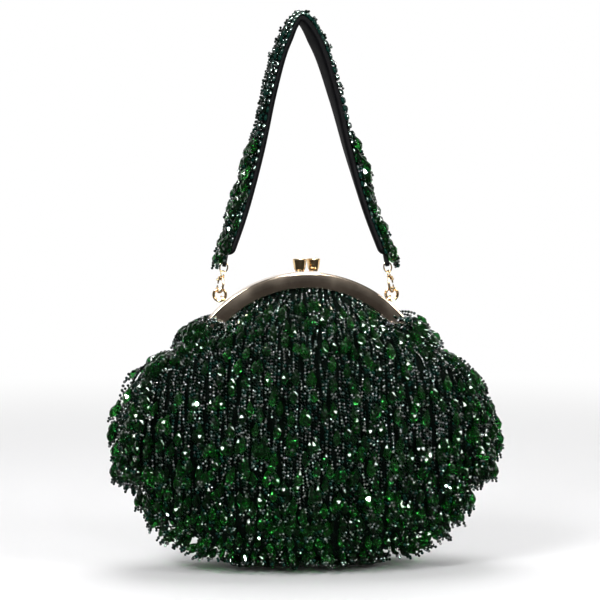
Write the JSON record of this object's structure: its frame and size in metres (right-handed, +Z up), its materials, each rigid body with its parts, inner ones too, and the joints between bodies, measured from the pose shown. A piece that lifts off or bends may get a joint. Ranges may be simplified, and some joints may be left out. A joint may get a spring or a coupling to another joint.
{
  "type": "beaded pouch bag",
  "caption": "Fringed beaded evening pouch on a hinged arched metal frame with a crossing-knob clasp and a beaded hand strap on lobster claws.",
  "frame": {"origin": "middle of the flat patch the bag stands on", "axes": "+Z up, +X to the bag's right along its width, -Y out of the front"},
  "size_m": [0.2436, 0.0994, 0.3609],
  "materials": {
    "pale_gold": "polished pale gold plate",
    "green_beads": "dark green seed beads and drops on thread",
    "green_drops": "faceted translucent green drops",
    "black_satin": "black satin",
    "ground_fabric": "matte dark ground cloth",
    "paper_cord": "twisted paper cord"
  },
  "bodies": {
    "bag": {"rear_frame": "pale_gold", "rear_left_hinge_lug": "pale_gold", "rear_right_hinge_lug": "pale_gold", "left_hinge_rivet": "pale_gold", "right_hinge_rivet": "pale_gold", "rear_clasp_knob": "pale_gold", "left_ring_staple": "pale_gold", "right_ring_staple": "pale_gold", "lower_fringe_1": "green_beads", "lower_fringe_2": "green_beads", "lower_fringe_3": "green_beads", "lower_fringe_4": "green_beads", "front_fringe_1": "green_beads", "front_fringe_2": "green_beads", "front_fringe_3": "green_beads", "rear_fringe_1": "green_beads", "rear_fringe_2": "green_beads", "rear_fringe_3": "green_beads", "base_fringe": "green_beads", "pouch_lining": "black_satin", "front_upper_lining": "black_satin", "rear_upper_lining": "black_satin", "pouch_shell": "ground_fabric", "front_upper_fabric": "ground_fabric", "rear_upper_fabric": "ground_fabric", "rear_frame_cord": "paper_cord"},
    "front_frame": {"front_frame": "pale_gold", "front_frame_cord": "paper_cord", "front_clasp_knob": "pale_gold", "front_left_hinge_lug": "pale_gold", "front_right_hinge_lug": "pale_gold"},
    "rings": {"left_ring": "pale_gold", "right_ring": "pale_gold"},
    "handle": {"left_claw": "pale_gold", "right_claw": "pale_gold", "left_claw_pin": "pale_gold", "right_claw_pin": "pale_gold", "left_link": "pale_gold", "right_link": "pale_gold", "left_strap_tab": "black_satin", "right_strap_tab": "black_satin", "strap_lining": "black_satin", "strap_beading": "green_beads", "left_strap_drops": "green_drops", "right_strap_drops": "green_drops"},
    "left_gate": {"left_claw_gate": "pale_gold"},
    "right_gate": {"right_claw_gate": "pale_gold"}
  },
  "joints": [
    {"name": "frame_hinge", "type": "hinge", "parent": "bag", "child": "front_frame", "pos_m": [0, 0, 0.143], "axis": [1, 0, 0], "range_deg": [0, 70], "deforming": ["front_upper_fabric", "front_upper_lining", "front_fringe_1", "front_fringe_2", "front_fringe_3"]},
    {"name": "ring_swing", "type": "hinge", "parent": "bag", "child": "rings", "pos_m": [0, 0.0036, 0.17394], "axis": [1, 0, 0], "range_deg": [-50, 50]},
    {"name": "handle_swing", "type": "hinge", "parent": "rings", "child": "handle", "pos_m": [0, 0.0036, 0.18085], "axis": [1, 0, 0], "range_deg": [-18, 25]},
    {"name": "left_gate_press", "type": "hinge", "parent": "handle", "child": "left_gate", "pos_m": [-0.05528, 0.00458, 0.18746], "axis": [-0.8041, -0.5736, 0.1563], "range_deg": [0, 25]},
    {"name": "right_gate_press", "type": "hinge", "parent": "handle", "child": "right_gate", "pos_m": [0.05528, 0.00458, 0.18746], "axis": [-0.8041, 0.5736, -0.1563], "range_deg": [0, 25]}
  ]
}
